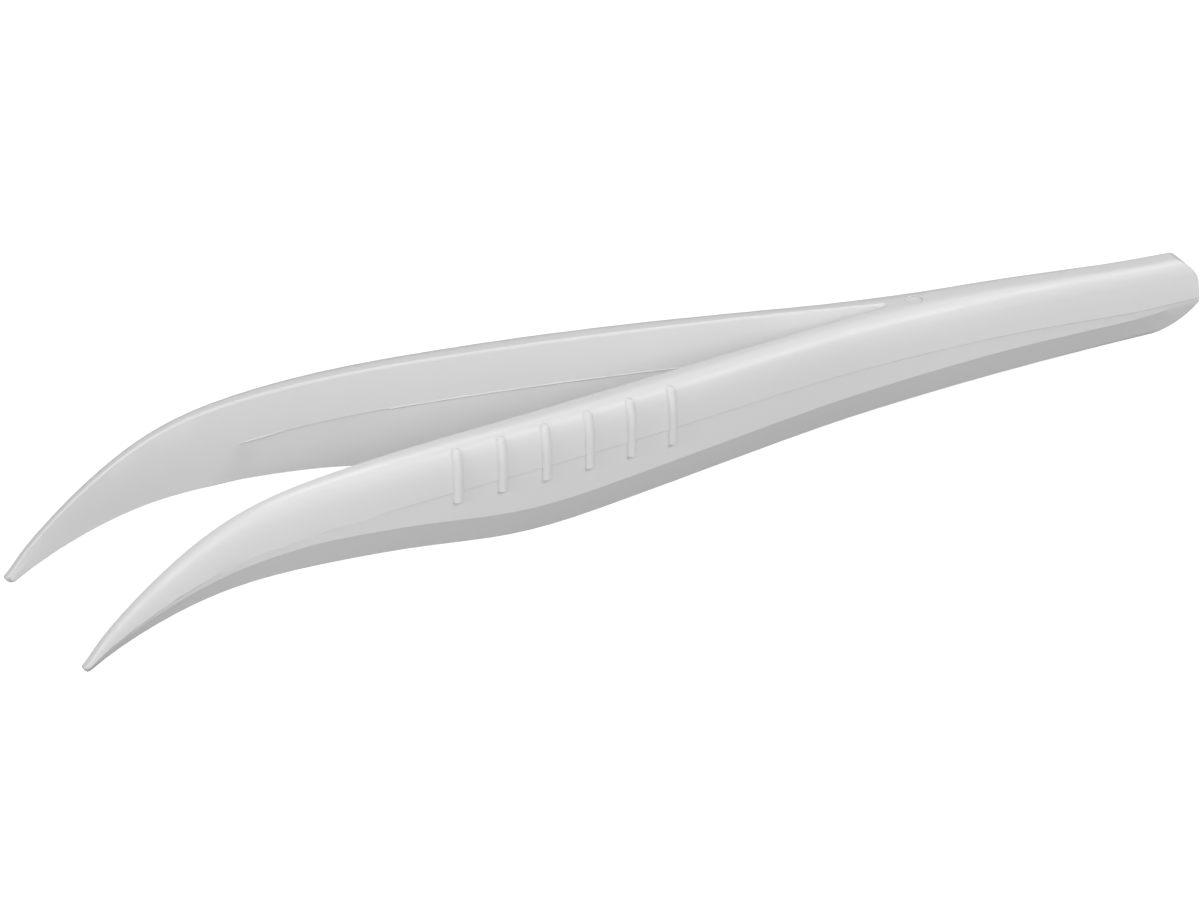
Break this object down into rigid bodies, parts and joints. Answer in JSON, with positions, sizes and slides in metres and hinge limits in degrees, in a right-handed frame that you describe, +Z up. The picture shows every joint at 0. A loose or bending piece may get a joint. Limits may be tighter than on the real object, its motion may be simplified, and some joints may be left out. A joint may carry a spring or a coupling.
{
  "type": "disposable forceps",
  "caption": "One-piece moulded plastic forceps with two springy arms, claw-curved tips and ribbed finger grips, joined by a solid handle.",
  "frame": {"origin": "middle of the bounding box's underside, on the surface that the forceps rest on", "axes": "+X from the tips towards the butt end of the handle, +Z up, the arms open along Y"},
  "size_m": [0.1304, 0.0252, 0.0144],
  "materials": {
    "white_plastic": "satin white injection-moulded plastic"
  },
  "bodies": {
    "root": {"forceps": "white_plastic"}
  },
  "joints": []
}
